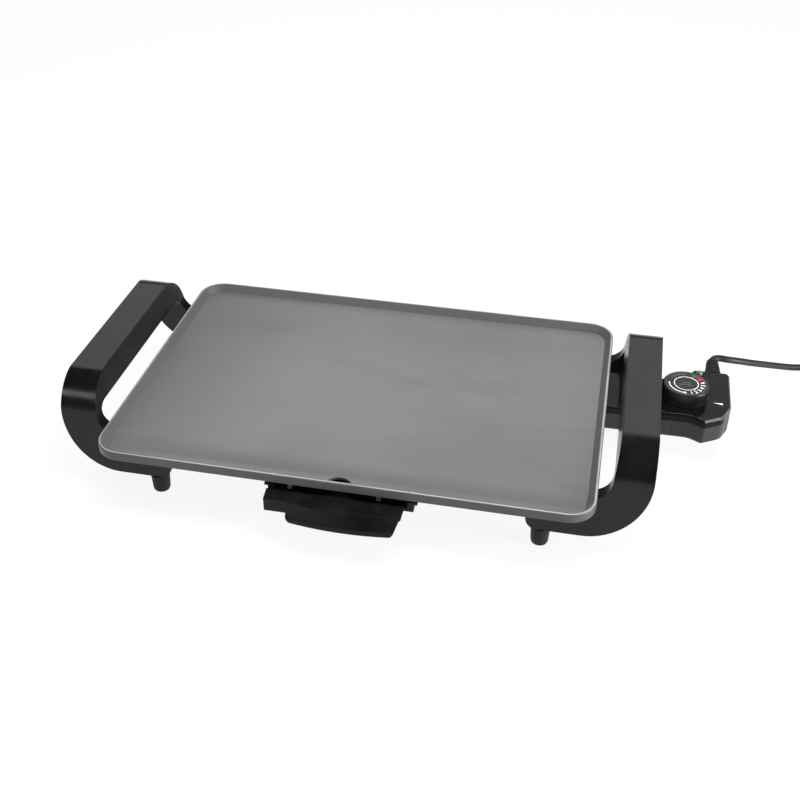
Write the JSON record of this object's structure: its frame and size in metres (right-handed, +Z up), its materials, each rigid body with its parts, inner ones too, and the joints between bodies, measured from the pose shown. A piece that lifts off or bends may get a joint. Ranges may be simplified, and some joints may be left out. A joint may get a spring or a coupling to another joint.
{
  "type": "electric griddle",
  "caption": "Rectangular cast griddle plate on two moulded handles with feet, a slide-out drip tray and a plug-in temperature control with its mains lead.",
  "frame": {"origin": "on the table under the middle of the griddle's own box, cord left out", "axes": "+X to the user's right, towards the control; -Y towards the user; +Z up"},
  "size_m": [0.954, 0.4647, 0.118],
  "materials": {
    "nonstick_coating": "satin non-stick coating on cast aluminium",
    "element_sheath": "oxidised steel sheath",
    "ceramic": "fired, unglazed",
    "plated_pins": "nickel plated",
    "sheet_steel": "zinc plated sheet",
    "screw_steel": "zinc plated",
    "handle_plastic": "moulded heat-resistant, semi-gloss",
    "foot_rubber": "matte",
    "tray_plastic": "moulded, satin",
    "control_plastic": "moulded, glossy",
    "phenolic": "pressed phenolic",
    "brass": "bare",
    "probe_steel": "bright drawn",
    "blue_insulation": "flexible",
    "brown_insulation": "flexible",
    "lamp_glass": "clear neon envelope",
    "lens_plastic": "translucent smoke",
    "dial_plastic": "moulded, fine satin",
    "cord_jacket": "flexible, satin",
    "plug_plastic": "moulded"
  },
  "bodies": {
    "griddle": {"griddle_plate": "nonstick_coating", "heating_element": "element_sheath", "terminal_insulators": "ceramic", "terminal_pins": "plated_pins", "terminal_guard": "sheet_steel", "guard_screws": "screw_steel", "right_handle": "handle_plastic", "left_handle": "handle_plastic", "handle_screws": "screw_steel", "rubber_feet": "foot_rubber", "left_tray_rail": "tray_plastic", "right_tray_rail": "tray_plastic", "rail_screws": "screw_steel"},
    "drip_tray": {"drip_tray": "tray_plastic"},
    "control": {"control_top_housing": "control_plastic", "control_bottom_housing": "control_plastic", "housing_screws": "screw_steel", "receptacle_block": "phenolic", "receptacle_contacts": "brass", "probe_tube": "probe_steel", "probe_rod": "ceramic", "thermostat_frame": "sheet_steel", "spindle_bush": "brass", "fixed_contact_leaf": "brass", "leaf_insulators": "ceramic", "stack_screw": "screw_steel", "neutral_lead": "blue_insulation", "live_lead": "brown_insulation", "pilot_lamp": "lamp_glass", "lamp_lens": "lens_plastic", "strain_relief": "cord_jacket", "power_cord": "cord_jacket", "cord_coil": "cord_jacket", "plug_body": "plug_plastic", "plug_pins": "plated_pins"},
    "dial": {"dial": "dial_plastic", "dial_spindle": "probe_steel"},
    "contact_leaf": {"moving_contact_leaf": "brass"}
  },
  "joints": [
    {"name": "tray_slide", "type": "slide", "parent": "griddle", "child": "drip_tray", "axis": [0, -1, 0], "range_m": [0, 0.075]},
    {"name": "control_unplug", "type": "slide", "parent": "griddle", "child": "control", "axis": [1, 0, 0], "range_m": [0, 0.09]},
    {"name": "dial_turn", "type": "hinge", "parent": "control", "child": "dial", "pos_m": [0.298, 0.0861, 0.077], "axis": [0, 0, 1], "range_deg": [-175, 95]},
    {"name": "contact_open", "type": "hinge", "parent": "control", "child": "contact_leaf", "pos_m": [0.268, 0.0861, 0.0422], "axis": [0, -1, 0], "range_deg": [0, 1], "stiffness_Nm_per_rad": 0.2}
  ]
}
